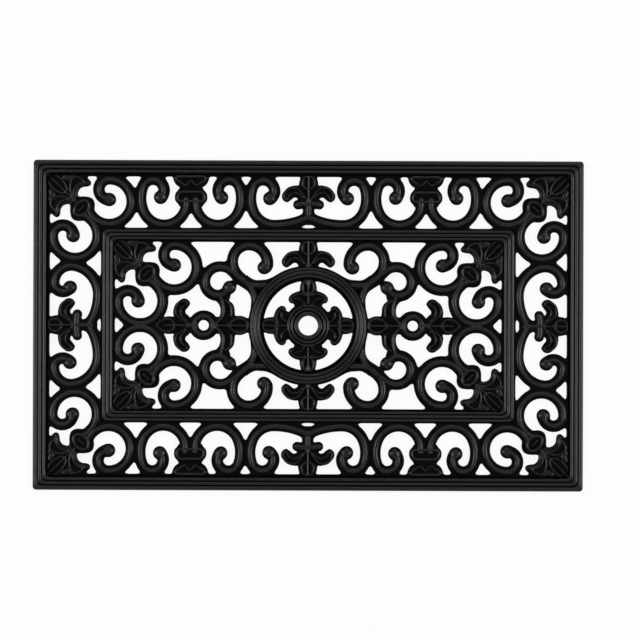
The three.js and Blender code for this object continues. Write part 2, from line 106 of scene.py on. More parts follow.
# Units of the field's motifs: the corner's and the springing scrolls' in shares of half the
# field's height, how much of its unit the fleur on the ring takes up, and where in its unit the
# side fleur's foot is
field_corner_share = 0.63
spring_share = 0.478
ring_fleur_share = 0.476
side_fleur_foot = 0.525

# Mouldings and hubs. A hub's ribs have a radius and half a width each.
corner_radius = 5.0
ring_width = 18.0
hub_radius = 31.8
hub_hole_radius = 13.2
HUB_RIBS = [[16.6, 3.4], [22.6, 2.3], [27.0, 2.0]]
side_hub_radius = 20.0
side_hub_hole_radius = 7.0
SIDE_HUB_RIBS = [[12.8, 3.6]]

# Heights: the flange that everything rises from, the bottom of a moulding's grooves, and how far
# beads, leaves, the veins of lobes, and the web and blades of a corner rise above the flange
flange = 5.4
groove = 6.3
bead_rise = thickness - flange
leaf_rise = 3.3
lobe_vein_rise = 2.7
web_rise = 3.0
blade_rise = 2.2

# Half widths of the bands and their beads, how much wider a band is at its eye, how much further
# its flange reaches on the outside of a curve, and how much narrower the hook is at its root
band_half = 6.6
bead_half = 3.9
band_widening = 0.5
band_lip = 1.05
hook_narrowing = 1.7

# Radii of a scroll's eye and of the knob on it
eye_radius = 8.6
eye_bead = 7.6

# How far the flange reaches beyond the rails and the ring, and then beyond every outline except
# the hubs' holes
rail_lip = 0.9
ring_lip = 0.9
outline_spread = 0.45

# Roundings: where scrolls meet each other or a rail, where other outlines meet, where ridges
# meet, the mat's upper edges, and where the ribs of two rails meet
scroll_blend = 6.0
outline_blend = 2.4
ridge_blend = 0.7
edge_round = 1.1
rail_turn = 8.0

# The section of beads and ridges: the higher the first power, the flatter the crown, and the
# lower the second, the steeper the foot
crown_power = 3
foot_power = 0.8

# Fineness: the mesh's spacing, the steps of a curve, of a rail's straight run and around the
# ring, the decimals at which corners are welded, and the angle from which an edge is sharp
spacing = 0.8
curve_steps = 6
rail_steps = 24
ring_steps = 360
weld_decimals = 4
sharp_degrees = 48

# Drawing corners to the outline: how near they have to be in shares of the spacing, how far
# inside it the mesh is cut elsewhere, how many steps of the probe fill the spacing, and the least
# slope squared
snap_share = 0.3
outline_trim = 0.03
probe_steps = 20
least_steepness = 0.25

# How near a place has to be to a shape to be measured from it, and the slack in telling which
# motif is the nearest
reach = 12.0
tie = 1e-9


# Shapes

class Place:
    """A motif's own axes: shares along it and up it, from its origin on the mat."""

    def __init__(self, origin, along, up):
        self.origin = np.array(origin, float)
        self.along = np.array(along, float)
        self.up = np.array(up, float)
        self.unit = math.hypot(*self.up)

    def shares(self, points):
        offset = (points - self.origin) / self.unit**2
        return np.stack([offset @ self.along, offset @ self.up], axis=1)

    def points(self, shares):
        shares = np.array(shares, float)
        return self.origin + shares[:, :1] * self.along + shares[:, 1:] * self.up


def smooth_least(a, b, blend):
    """The lesser of two values, rounded off where they are nearly the same."""
    mix = np.maximum(blend - np.abs(a - b), 0) / blend
    return np.minimum(a, b) - mix * mix * blend / 4


def smooth_most(a, b, blend):
    """The greater of two values, rounded off in the same way."""
    return -smooth_least(-a, -b, blend)


def crown(share):
    """The section of a bead or ridge: 1 on its flat crown, falling steeply to 0 at its foot."""
    return np.clip(1 - np.minimum(np.abs(share), 1) ** crown_power, 0, 1) ** foot_power


def smooth_curve(places, closed):
    """Places along a Catmull-Rom curve through the given ones."""
    count = len(places)
    steps = np.arange(curve_steps)[:, None] / curve_steps
    stretches = []
    for i in range(count if closed else count - 1):
        if closed:
            a, b, c, d = (places[(i + k) % count] for k in (-1, 0, 1, 2))
        else:
            a, b, c, d = (places[min(max(i + k, 0), count - 1)] for k in (-1, 0, 1, 2))
        stretches.append(
            b + (c - a) / 2 * steps + (a - 2.5 * b + 2 * c - d / 2) * steps**2
            + (1.5 * (b - c) + (d - a) / 2) * steps**3
        )
    if not closed:
        stretches.append(places[-1:])
    return np.concatenate(stretches)


def line_distance(points, line, closed):
    """How far points lie from a line through the given places."""
    starts = line if closed else line[:-1]
    runs = (np.roll(line, -1, axis=0) if closed else line[1:])[: len(starts)] - starts
    offset = points[:, None, :] - starts[None]
    share = np.clip((offset * runs).sum(axis=2) / (runs * runs).sum(axis=1), 0, 1)
    gap = offset - share[..., None] * runs
    return np.sqrt((gap * gap).sum(axis=2).min(axis=1))


def within(points, line):
    """Whether points lie inside a closed line."""
    x, y = points[:, :1], points[:, 1:]
    ends = np.roll(line, -1, axis=0)
    spans = (line[:, 1] > y) != (ends[:, 1] > y)
    rise = np.where(ends[:, 1] == line[:, 1], 1, ends[:, 1] - line[:, 1])
    crossing = line[:, 0] + (y - line[:, 1]) / rise * (ends[:, 0] - line[:, 0])
    return (spans & (x < crossing)).sum(axis=1) % 2 == 1


def nearby(places, measure, blend=None):
    """A shape's measure, held to the neighbourhood of the places that it is drawn by."""
    low = places.min(axis=0) - reach
    high = places.max(axis=0) + reach

    def measured(points):
        distance = np.full(len(points), reach)
        rise = np.zeros(len(points))
        near = np.all((points > low) & (points < high), axis=1)
        if near.any():
            distance[near], rise[near] = measure(points[near])
        return distance, rise

    measured.blend = blend or outline_blend
    return measured


def plate(place, shares):
    """A flat shape inside a smooth closed outline."""
    line = smooth_curve(place.points(shares), closed=True)

    def measure(points):
        distance = line_distance(points, line, closed=True)
        return np.where(within(points, line), -distance, distance), 0

    return nearby(line, measure)


def ridge(place, drawing, rise=leaf_rise, closed=False, outline_share=None):
    """A raised line on a plate or, with a share for its outline, on material of its own."""
    half_share, shares = drawing
    line = smooth_curve(place.points(shares), closed)
    half = half_share * place.unit

    def measure(points):
        distance = line_distance(points, line, closed)
        raised = rise * crown(distance / half)
        if outline_share is None:
            return reach, raised
        return distance - outline_share * place.unit, raised

    return nearby(line, measure)


def walk(drawing):
    """The runs of a scroll's path, as start, heading in radians, size, turn and length, and its
    end."""
    (x, y), degrees, arcs = drawing
    heading = math.radians(degrees)
    runs = []
    for size, turn_degrees in arcs:
        turn = math.radians(turn_degrees)
        length = abs(turn) * size if turn else size
        runs.append((np.array([x, y]), heading, size, turn, length))
        chord = 2 * size * math.sin(abs(turn) / 2) if turn else size
        x += chord * math.cos(heading + turn / 2)
        y += chord * math.sin(heading + turn / 2)
        heading += turn
    return runs, np.array([x, y])


def run_distance(points, start, heading, size, turn):
    """How far points lie from a straight run or an arc, how far outside its curve they are, and
    how far along it the nearest place is, in the shares that it is drawn in."""
    if turn == 0:
        direction = np.array([math.cos(heading), math.sin(heading)])
        share = np.clip((points - start) @ direction, 0, size)
        gap = np.linalg.norm(points - start - share[:, None] * direction, axis=1)
        return gap, np.zeros(len(points)), share
    side = math.copysign(1, turn)
    first = heading - side * math.pi / 2
    centre = start - size * np.array([math.cos(first), math.sin(first)])
    spoke = points - centre
    swept = (np.arctan2(spoke[:, 1], spoke[:, 0]) - first) * side % (2 * math.pi)
    past_end = swept > abs(turn)
    nearer_start = swept > abs(turn) / 2 + math.pi
    swept = np.where(past_end, np.where(nearer_start, 0, abs(turn)), swept)
    angle = first + side * swept
    nearest = centre + size * np.stack([np.cos(angle), np.sin(angle)], axis=1)
    outside = np.linalg.norm(spoke, axis=1) - size
    return np.linalg.norm(points - nearest, axis=1), outside, swept * size


def scroll(place, drawing, narrowing=0.0):
    """A band with a round bead along its middle, wound into a round eye."""
    runs, eye = walk(drawing)
    corners = [start for start, *_ in runs] + [eye]
    eye_point = place.points([eye])[0]
    widest = max(size for _, _, size, turn, _ in runs if turn)
    spread = np.array([[-widest, -widest], [widest, widest]])
    extent = place.points(np.concatenate([corner + spread for corner in corners]))

    lengths = np.array([length for *_, length in runs])
    ends = np.cumsum(lengths)

    def measure(points):
        shares = place.shares(points)
        measured = np.array([run_distance(shares, *run[:4]) for run in runs])
        nearest = measured[:, 0].argmin(axis=0)
        distance, outside, along = measured[nearest, :, np.arange(len(points))].T * place.unit
        along = (along / place.unit + (ends - lengths)[nearest]) / ends[-1]
        half = band_half + band_widening * along**2 - narrowing * (1 - along)**2
        half = half + band_lip * np.clip(outside / band_half, 0, 1)
        eye_distance = np.linalg.norm(points - eye_point, axis=1)
        outline = smooth_least(distance - half, eye_distance - eye_radius, outline_blend)
        bead = bead_rise * crown(distance / bead_half)
        knob = bead_rise * crown(eye_distance / eye_bead)
        return outline, smooth_most(bead, knob, ridge_blend)

    return nearby(extent, measure, scroll_blend)


def hub(centre_x, outer_radius, ribs):
    """A round boss with ribs around its middle."""
    extent = np.array([[centre_x - outer_radius, -outer_radius], [centre_x + outer_radius, outer_radius]])

    def measure(points):
        radius = np.hypot(points[:, 0] - centre_x, points[:, 1])
        heights = [bead_rise * crown((radius - middle) / half) for middle, half in ribs]
        return radius - outer_radius, np.max(heights, axis=0)

    return nearby(extent, measure)


def united(features, points):
    """The outline distance and the rise of several shapes together, widest blends first."""
    distance = np.full(len(points), reach)
    rise = np.zeros(len(points))
    for feature in sorted(features, key=lambda feature: -feature.blend):
        feature_distance, feature_rise = feature(points)
        distance = smooth_least(distance, feature_distance, feature.blend)
        rise = smooth_most(rise, feature_rise, ridge_blend)
    return distance, rise


def whole(half):
    """Both halves of an outline that is drawn from the axis to the axis."""
    mirrored = [[-u, v] for u, v in half[1:-1]]
    return [*half, *reversed(mirrored)]


def oval(middle, radii, tilt=0.0, count=12):
    """Places around an oval, in shares."""
    angles = np.arange(count) * 2 * math.pi / count
    x, y = radii[0] * np.cos(angles), radii[1] * np.sin(angles)
    turn = math.radians(tilt)
    return np.stack([
        middle[0] + x * math.cos(turn) - y * math.sin(turn),
        middle[1] + x * math.sin(turn) + y * math.cos(turn),
    ], axis=1)


# Scroll paths: start in shares, heading in degrees, and arcs of a radius share and a left turn.
# A run that turns by nothing is straight.
CENTRE_SCROLL = ([0, 0.232], -27, [[1.42, 27], [0.42, 65], [0.621, 43], [0.208, 162], [0.145, 65]])
SIDE_SCROLL = ([0, 0.253], -35, [[1, 35], [0.545, 80], [0.32, 100], [0.163, 90], [0.16, 58]])
URN_SCROLL = ([0.093, 0.56], -90, [[0.07, 0], [0.414, 155], [0.621, 45], [0.2, 160], [0.17, 50]])
CORNER_SCROLL = ([0.754, 0.67], 65, [[0.42, -245], [0.19, -180]])
CURL_SCROLL = (
    [-0.609, 1.019], -3,
    [[0.386, 0], [0.6, 93], [0.395, 90], [0.455, 90], [0.01, 0], [0.09, 80]],
)
HOOK_SCROLL = (
    [-0.166, 0.529], 82,
    [[0.11, 0], [0.739, -46], [0.397, 0], [0.437, -36], [0.373, -90], [0.327, -90], [0.255, -50],
     [0.135, 0]],
)

# The web between the ring and the roots of the curl and the hook
SPRING_WEB = [[-0.33, 0.97], [-0.12, 0.97], [-0.1, 0.72], [-0.22, 0.7]]

# Leaves, buds, knots and clasps, in shares of their motif. A plate is an outline, or half of one
# that is drawn from the axis to the axis. A ridge is half a width and a line.
BUD = [
    [0, 1.03], [0.142, 1.02], [0.152, 0.96], [0.168, 0.9], [0.177, 0.83], [0.155, 0.765],
    [0.131, 0.735], [0, 0.67],
]
PETAL = [
    [0.083, 0.724], [0.193, 0.811], [0.29, 0.811], [0.386, 0.779], [0.455, 0.71], [0.497, 0.634],
    [0.483, 0.559], [0.414, 0.51], [0.345, 0.545], [0.276, 0.597], [0.214, 0.586],
    [0.166, 0.531], [0.028, 0.476],
]
POINTED_BUD = [
    [0, 1.2], [0.07, 1.12], [0.13, 1.03], [0.162, 0.93], [0.155, 0.83], [0.131, 0.738], [0, 0.67],
]
POINTED_RIM = 0.028, [
    [0, 1.125], [0.075, 1.06], [0.12, 0.965], [0.1, 0.86], [0, 0.79], [-0.1, 0.86],
    [-0.12, 0.965], [-0.075, 1.06],
]
BUD_RIM = 0.028, oval([0, 0.875], [0.116, 0.122])
BUD_MIDRIB = 0.022, [[0, 1.0], [0, 0.5]]
STEM = 0.05, [[0, 0.2], [0, 0.55]]
FLEUR_CORE = [[0, 0.76], [0.13, 0.74], [0.17, 0.62], [0.11, 0.5], [0, 0.46]]
PETAL_RIM = 0.024, [
    [0.041, 0.559], [0.124, 0.669], [0.193, 0.752], [0.276, 0.779], [0.372, 0.755],
    [0.436, 0.697], [0.46, 0.614], [0.421, 0.555],
]
PETAL_VEIN = 0.023, [[0.097, 0.586], [0.179, 0.662], [0.276, 0.683], [0.359, 0.641], [0.4, 0.566]]
COLLAR = 0.056, [[-0.202, 0.46], [-0.1, 0.476], [0, 0.478], [0.1, 0.476], [0.202, 0.46]]
CLASP = [
    [0, 1.03], [0.325, 1.02], [0.333, 0.95], [0.31, 0.88], [0.267, 0.822], [0.212, 0.78],
    [0.241, 0.724], [0.284, 0.669], [0.3, 0.6], [0.29, 0.53], [0.24, 0.47], [0.2, 0.43],
    [0, 0.43],
]
CLASP_LOOP = 0.03, whole([
    [0, 0.693], [0.17, 0.693], [0.23, 0.66], [0.255, 0.6], [0.235, 0.54], [0.17, 0.517], [0, 0.517],
])
CLASP_COLLAR = 0.03, [[0, 0.979], [0.25, 0.979], [0.275, 0.93], [0.217, 0.883]]
CLASP_ZIGZAG = 0.026, [[-0.217, 0.89], [-0.1, 0.82], [0, 0.903], [0.1, 0.82], [0.217, 0.89]]
KNOT = [
    [0.855, 0.54], [0.82, 0.452], [0.73, 0.41], [0.57, 0.42], [0.42, 0.57], [0.41, 0.73],
    [0.452, 0.82], [0.54, 0.855], [0.63, 0.845], [0.72, 0.8], [0.8, 0.72], [0.845, 0.63],
]
KNOT_LOOP = 0.033, oval([0.616, 0.616], [0.165, 0.116], -45)
KNOT_BAR = 0.024, [[0.66, 0.572], [0.572, 0.66]]
CURLED_LEAF = [
    [0.71, -0.03], [0.722, 0.05], [0.75, 0.085], [0.78, 0.12], [0.784, 0.155], [0.76, 0.19],
    [0.7, 0.208], [0.63, 0.217], [0.57, 0.26], [0.54, 0.33], [0.545, 0.39], [0.593, 0.428],
    [0.469, 0.497],
    [0.4, 0.359], [0.379, 0.221], [0.414, 0.083], [0.469, -0.03],
]
CURLED_RIM = 0.026, [
    [0.68, 0.135], [0.64, 0.09], [0.565, 0.045], [0.498, 0.035], [0.435, 0.08], [0.4, 0.19],
    [0.405, 0.3], [0.45, 0.42],
]
CURLED_VEIN = 0.027, [
    [0.68, 0.135], [0.6, 0.145], [0.525, 0.19], [0.475, 0.265], [0.46, 0.36], [0.49, 0.46],
]
CURLED_BLADE = 0.03, [[0.74, 0.14], [0.67, 0.165], [0.6, 0.18], [0.55, 0.235], [0.52, 0.31], [0.515, 0.4]]
WEB_CREST = 0.06, [[0.3, 0.04], [0.37, 0.065], [0.43, 0.03]]
CORNER_LEAF = oval([0.165, 0.165], [0.24, 0.14], 45)
CORNER_LEAF_RIM = 0.025, oval([0.162, 0.162], [0.222, 0.115], 45)
CORNER_LEAF_MIDRIB = 0.023, [[0.06, 0.06], [0.2, 0.2], [0.5, 0.5]]
CORNER_WEB = [[-0.03, -0.03], [0.5, -0.03], [0.43, 0.35], [0.35, 0.43], [-0.03, 0.5]]
PALMETTE_BUD = [
    [0, 1.03], [0.105, 1.01], [0.152, 0.93], [0.178, 0.83], [0.157, 0.71], [0, 0.608],
]
PALMETTE_RIM = 0.034, oval([0, 0.84], [0.125, 0.155])
PALMETTE_MIDRIB = 0.026, [[0, 0.98], [0, 0.48]]
PALMETTE_CORE = [[0, 0.7], [0.1, 0.7], [0.16, 0.55], [0.12, 0.4], [0, 0.36]]
LOBE = [
    [0.048, 0.64], [0.17, 0.738], [0.275, 0.724], [0.365, 0.675], [0.42, 0.605],
    [0.42, 0.54], [0.38, 0.497], [0.32, 0.48], [0.29, 0.44], [0.16, 0.384], [0.048, 0.416],
]
LOBE_RIM = 0.028, [[0.06, 0.66], [0.16, 0.695], [0.27, 0.678], [0.345, 0.625], [0.376, 0.56], [0.34, 0.515]]
LOBE_VEIN = 0.027, [[0.07, 0.45], [0.12, 0.53], [0.19, 0.575], [0.27, 0.585]]
SIDE_RIM = 0.032, [
    [0, 0.83], [0.085, 0.8], [0.13, 0.71], [0.118, 0.61], [0.07, 0.53], [0, 0.48],
    [-0.07, 0.53], [-0.118, 0.61], [-0.13, 0.71], [-0.085, 0.8],
]
SIDE_MIDRIB = 0.022, [[0, 0.8], [0, 0.24]]
SIDE_BUD = [
    [0, 0.9], [0.105, 0.88], [0.132, 0.82], [0.162, 0.752], [0.177, 0.69], [0.174, 0.615],
    [0.186, 0.553], [0.13, 0.44], [0.12, 0.34], [0.15, 0.25], [0, 0.22],
]
RISING_LEAF = [
    [0.186, 0.565], [0.27, 0.578], [0.36, 0.564], [0.418, 0.528], [0.469, 0.475],
    [0.54, 0.48], [0.55, 0.3], [0.455, 0.256], [0.386, 0.297], [0.303, 0.32], [0.221, 0.318],
    [0.159, 0.297], [0.131, 0.27], [0.1, 0.4],
]
RISING_RIM = 0.026, [[0.18, 0.52], [0.345, 0.518], [0.428, 0.465], [0.469, 0.408]]
RISING_BEAD = 0.036, [[0.041, 0.242], [0.166, 0.352], [0.303, 0.373], [0.441, 0.352], [0.51, 0.325]]

# How far the material of a stem and of a collar reaches from their ridges
stem_outline = 0.103
collar_outline = 0.084


# Motifs

def both_ways(origin, along, up):
    """A motif's place, and the one that mirrors it about its own axis."""
    return [Place(origin, np.multiply(way, along), up) for way in (1, -1)]


def fleur(places, bud=BUD, rim=BUD_RIM):
    """A bud between two curled petals, on a stem."""
    middle = places[0]
    features = [
        plate(middle, whole(bud)),
        plate(middle, whole(FLEUR_CORE)),
        ridge(middle, rim, closed=True),
        ridge(middle, BUD_MIDRIB, bead_rise),
        ridge(middle, STEM, outline_share=stem_outline),
    ]
    for place in places:
        features.append(plate(place, PETAL))
        features.append(ridge(place, PETAL_RIM))
        features.append(ridge(place, PETAL_VEIN))
    return features


def lyre(places, drawing):
    """Two scrolls that part from the axis, with a fleur between them on a collar."""
    collar = ridge(places[0], COLLAR, bead_rise, outline_share=collar_outline)
    return [*(scroll(place, drawing) for place in places), *fleur(places), collar]


def urn():
    """Two scrolls that hang from a clasp under the outer rail."""
    places = both_ways([urn_middle, border_inner_y], [border_width, 0], [0, border_width])
    features = [
        plate(places[0], whole(CLASP)),
        ridge(places[0], CLASP_LOOP, bead_rise, closed=True),
        ridge(places[0], CLASP_ZIGZAG),
    ]
    for place in places:
        features.append(scroll(place, URN_SCROLL))
        features.append(ridge(place, CLASP_COLLAR))
    return features


def corner_spray(corner_x, corner_y, unit, end=1):
    """Two scrolls that spring from a knot on the diagonal, with three leaves in the corner. The
    end is 1 behind the x axis and -1 in front of it."""
    origin = [corner_x, end * corner_y]
    places = [
        Place(origin, [-unit, 0], [0, -end * unit]),
        Place(origin, [0, -end * unit], [-unit, 0]),
    ]
    diagonal = places[0]
    features = [
        plate(diagonal, KNOT),
        plate(diagonal, CORNER_WEB),
        plate(diagonal, CORNER_LEAF),
        ridge(diagonal, KNOT_LOOP, bead_rise, closed=True),
        ridge(diagonal, KNOT_BAR),
        ridge(diagonal, CORNER_LEAF_RIM, closed=True),
        ridge(diagonal, CORNER_LEAF_MIDRIB),
    ]
    for place in places:
        features.append(scroll(place, CORNER_SCROLL))
        features.append(plate(place, CURLED_LEAF))
        features.append(ridge(place, CURLED_RIM))
        features.append(ridge(place, CURLED_VEIN))
        features.append(ridge(place, CURLED_BLADE, blade_rise))
        features.append(ridge(place, WEB_CREST, web_rise))
    return features


def centre_motif():
    """The lyre in the middle of the back border."""
    places = both_ways([0, border_inner_y], [border_width, 0], [0, border_width])
    return lyre(places, CENTRE_SCROLL)


def side_motif():
    """The lyre in the middle of the right border."""
    places = both_ways([border_inner_x, 0], [0, border_width], [border_width, 0])
    return lyre(places, SIDE_SCROLL)


def field_fleur():
    """The fleur between the ring and the inner rail."""
    unit = (field_y - ring_radius) / ring_fleur_share
    return fleur(both_ways([0, field_y - unit], [unit, 0], [0, unit]))


def spring(drawing, narrowing=0.0):
    """A scroll that springs from the ring, with the web at its root."""
    unit = spring_share * field_y
    place = Place([ring_radius, 0], [unit, 0], [0, unit])
    return [scroll(place, drawing, narrowing), plate(place, SPRING_WEB)]


def rosette():
    """A hub with four palmettes, of which the quarter sees two."""
    inner = ring_radius - ring_width
    features = [hub(0, hub_radius, HUB_RIBS)]
    for along, up in ([[inner, 0], [0, inner]], [[0, inner], [inner, 0]]):
        places = both_ways([0, 0], along, up)
        features.append(plate(places[0], whole(PALMETTE_BUD)))
        features.append(plate(places[0], whole(PALMETTE_CORE)))
        features.append(ridge(places[0], PALMETTE_RIM, closed=True))
        features.append(ridge(places[0], PALMETTE_MIDRIB, bead_rise))
        for place in places:
            features.append(plate(place, LOBE))
            features.append(ridge(place, LOBE_RIM))
            features.append(ridge(place, LOBE_VEIN, lobe_vein_rise))
    return features


def side_rosette():
    """A small hub with a bud that meets the ring, two rising leaves, and a fleur."""
    unit = border_width
    places = both_ways([side_hub_x, 0], [0, unit], [-unit, 0])
    fleur_x = side_hub_x + side_hub_radius - side_fleur_foot * unit
    features = [
        *fleur(both_ways([fleur_x, 0], [0, unit], [unit, 0]), POINTED_BUD, POINTED_RIM),
        hub(side_hub_x, side_hub_radius, SIDE_HUB_RIBS),
        plate(places[0], whole(SIDE_BUD)),
        ridge(places[0], SIDE_RIM, closed=True),
        ridge(places[0], SIDE_MIDRIB, bead_rise),
    ]
    for place in places:
        features.append(plate(place, RISING_LEAF))
        features.append(ridge(place, RISING_RIM))
        features.append(ridge(place, RISING_BEAD, bead_rise))
    return features


border_motifs = {
    "border_centre_back": centre_motif(),
    "border_centre_right": side_motif(),
    "border_urn": urn(),
    "border_corner": corner_spray(border_outer_x, border_outer_y, border_width),
}
field_corner_unit = field_corner_share * field_y
field_motifs = {
    "field_corner": corner_spray(field_x, field_y, field_corner_unit),
    "ring_curl": spring(CURL_SCROLL),
    "ring_hook": spring(HOOK_SCROLL, hook_narrowing),
    "field_fleur_back": field_fleur(),
    "side_rosette_right": side_rosette(),
}
rosette_motif = rosette()

# The field corner's mirror in front of the x axis, which is near enough to blend across it
beyond_axis = corner_spray(field_x, field_y, field_corner_unit, end=-1)


def moulding_distance(points):
    """How far points lie from the rails or the ring, whichever is nearer."""
    x, y = points[:, 0], points[:, 1]
    outer = np.minimum(border_outer_x - x, border_outer_y - y) - rail_lip
    outside_inner = np.maximum(x - border_inner_x, y - border_inner_y)
    inside_inner = np.minimum(field_x - x, field_y - y)
    inner = np.maximum(outside_inner, inside_inner) - rail_lip
    ring = np.abs(np.hypot(x, y) - ring_radius + ring_width / 2) - ring_width / 2 - ring_lip
    return np.minimum(np.minimum(outer, inner), ring)


def relief(points):
    """The outline distance and the rise of the whole quarter."""
    features = [
        *(feature for motif in border_motifs.values() for feature in motif),
        *(feature for motif in field_motifs.values() for feature in motif),
        *rosette_motif, *beyond_axis,
    ]
    mouldings = nearby(points, lambda points: (moulding_distance(points), 0), scroll_blend)
    distance, rise = united([mouldings, *features], points)
    distance = distance - outline_spread
    for centre_x, radius in ((0, hub_hole_radius), (side_hub_x, side_hub_hole_radius)):
        distance = np.maximum(distance, radius - np.hypot(points[:, 0] - centre_x, points[:, 1]))
    return distance, rise


def height(points):
    """The height of the mat's face, with its edges rounded."""
    distance, rise = relief(points)
    near_edge = np.clip(edge_round + distance, 0, edge_round)
    return flange + np.minimum(rise, bead_rise) - edge_round + np.sqrt(edge_round**2 - near_edge**2)


# Flat meshes

def breaks(places):
    """Grid lines through the given places, and evenly between them."""
    lines = [places[:1]]
    for start, end in zip(places, places[1:]):
        count = max(1, round((end - start) / spacing))
        lines.append(start + (end - start) * np.arange(1, count + 1) / count)
    return np.concatenate(lines)


def grid(x_places, y_places):
    """A flat mesh of triangles over a grid."""
    xs, ys = breaks(x_places), breaks(y_places)
    columns, rows = np.meshgrid(xs, ys)
    points = np.stack([columns.ravel(), rows.ravel()], axis=1)
    index = np.arange(len(points)).reshape(len(ys), len(xs))
    a, b = index[:-1, :-1].ravel(), index[:-1, 1:].ravel()
    c, d = index[1:, 1:].ravel(), index[1:, :-1].ravel()
    return points, np.concatenate([np.stack([a, b, c], axis=1), np.stack([a, c, d], axis=1)])


def weld(points, faces):
    """Joins corners that lie on each other, and drops what is unused or has no area."""
    rounded = np.round(points, weld_decimals)
    _, first, place = np.unique(rounded, axis=0, return_index=True, return_inverse=True)
    faces = place.ravel()[faces]
    points = points[first]
    sound = (faces != np.roll(faces, 1, axis=1)).all(axis=1)
    used, faces = np.unique(faces[sound], return_inverse=True)
    return points[used], faces.reshape(-1, 3)


def clip(points, faces, value):
    """The part of a flat mesh where the value at its corners is below zero."""
    inside = value < 0
    count = inside[faces].sum(axis=1)
    kept = [faces[count == 3]]
    added = [points]
    total = len(points)
    for lone_inside in (True, False):
        cut = faces[count == (1 if lone_inside else 2)]
        lone = (inside[cut] == lone_inside).argmax(axis=1)
        rows = np.arange(len(cut))
        a, b, c = (cut[rows, (lone + k) % 3] for k in range(3))
        ends = []
        for other in (b, c):
            share = value[a] / (value[a] - value[other])
            added.append(points[a] + share[:, None] * (points[other] - points[a]))
            ends.append(total + rows)
            total += len(cut)
        ab, ac = ends
        if lone_inside:
            kept.append(np.stack([a, ab, ac], axis=1))
        else:
            kept.append(np.stack([ab, b, c], axis=1))
            kept.append(np.stack([ab, c, ac], axis=1))
    return weld(np.concatenate(added), np.concatenate(kept))


def drawn_to_outline(points, x_places, y_places):
    """Moves corners that lie close to the outline onto it, so that no sliver is cut there."""
    value = relief(points)[0]
    fixed = np.isin(points[:, 0], x_places) | np.isin(points[:, 1], y_places)
    close = (np.abs(value) < snap_share * spacing) & ~fixed
    step = spacing / probe_steps
    slope = np.stack([
        (relief(points[close] + [step, 0])[0] - value[close]) / step,
        (relief(points[close] + [0, step])[0] - value[close]) / step,
    ], axis=1)
    points = points.copy()
    steepness = np.maximum((slope * slope).sum(axis=1), least_steepness)
    points[close] -= slope * (value[close] / steepness)[:, None]
    value[close] = -outline_trim
    return points, value


def edges_of(faces):
    """The edges that only one face has, in that face's direction."""
    edges = np.concatenate([faces[:, [0, 1]], faces[:, [1, 2]], faces[:, [2, 0]]])
    key = np.sort(edges, axis=1)
    _, place, count = np.unique(key, axis=0, return_inverse=True, return_counts=True)
    return edges[count[place.ravel()] == 1]


def solid(points, faces, heights):
    """A closed body between the floor and the given heights, over a flat mesh."""
    base = len(points)
    corners = np.concatenate([
        np.column_stack([points, heights]),
        np.column_stack([points, np.zeros(base)]),
    ])
    edges = edges_of(faces)
    below = edges + base
    walls = np.stack([edges[:, 1], edges[:, 0], below[:, 0], below[:, 1]], axis=1)
    return corners, [*faces.tolist(), *walls.tolist(), *(faces[:, ::-1] + base).tolist()]


# Pieces

def mirrored(points, faces, way_x, way_y):
    """A flat mesh turned to another quarter, with its faces still looking up."""
    turned = faces[:, ::-1] if way_x * way_y < 0 else faces
    return points * [way_x, way_y], turned


def joined(parts):
    """Flat meshes as one, welded where they meet."""
    points, faces, base = [], [], 0
    for part_points, part_faces in parts:
        points.append(part_points)
        faces.append(part_faces + base)
        base += len(part_points)
    return weld(np.concatenate(points), np.concatenate(faces))


def add_piece(name, corners, faces, material):
    """A piece of the mat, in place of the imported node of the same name."""
    mesh = bpy.data.meshes.new(name)
    mesh.from_pydata((np.asarray(corners) / METRE).tolist(), [], faces)
    mesh.polygons.foreach_set("use_smooth", [True] * len(mesh.polygons))
    mesh.set_sharp_from_angle(angle=math.radians(sharp_degrees))
    mesh.materials.append(material)
    piece = bpy.data.objects.new("rubber_" + name, mesh)
    bpy.context.collection.objects.link(piece)
    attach(piece, "root")
    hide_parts(name)


def add_relief_piece(name, parts, material):
    """A piece cut from the relief, over its flat meshes in one or more quarters."""
    points, faces = joined(parts)
    heights = height(np.abs(points))
    corners, solid_faces = solid(points, faces, heights)
    add_piece(name, corners, solid_faces, material)


def quarter_mesh():
    """The quarter's flat mesh, cut along the outline of its ornament."""
    x_places = np.array([0, centre_run, long_run, field_x, border_inner_x, border_outer_x])
    y_places = np.array([0, short_run, field_y, border_inner_y, border_outer_y])
    points, faces = grid(x_places, y_places)
    points, value = drawn_to_outline(points, x_places, y_places)
    return clip(points, faces, value + outline_trim)


def motif_meshes():
    """The flat mesh of each motif in the quarter, by its name."""
    points, faces = quarter_mesh()
    x, y = points[faces].mean(axis=1).T
    in_border = (x > border_inner_x) | (y > border_inner_y)
    places = {
        "border_centre_back": in_border & (x < centre_run),
        "border_centre_right": in_border & (y < short_run),
        "border_urn": in_border & (x > centre_run) & (x < long_run),
        "border_corner": in_border & (x > long_run) & (y > short_run),
    }
    meshes = {name: weld(points, faces[chosen]) for name, chosen in places.items()}
    radius = np.hypot(points[:, 0], points[:, 1])
    in_field = (x < field_x) & (y < field_y)
    inner_radius = ring_radius - ring_width
    meshes["centre_rosette"] = clip(points, faces[in_field], radius - inner_radius)
    points, faces = clip(points, faces[in_field], ring_radius - radius)
    distances = {name: united(motif, points)[0] for name, motif in field_motifs.items()}
    for name, own in distances.items():
        others = [distance for other, distance in distances.items() if other != name]
        meshes[name] = clip(points, faces, own - np.min(others, axis=0) - tie)
    return meshes


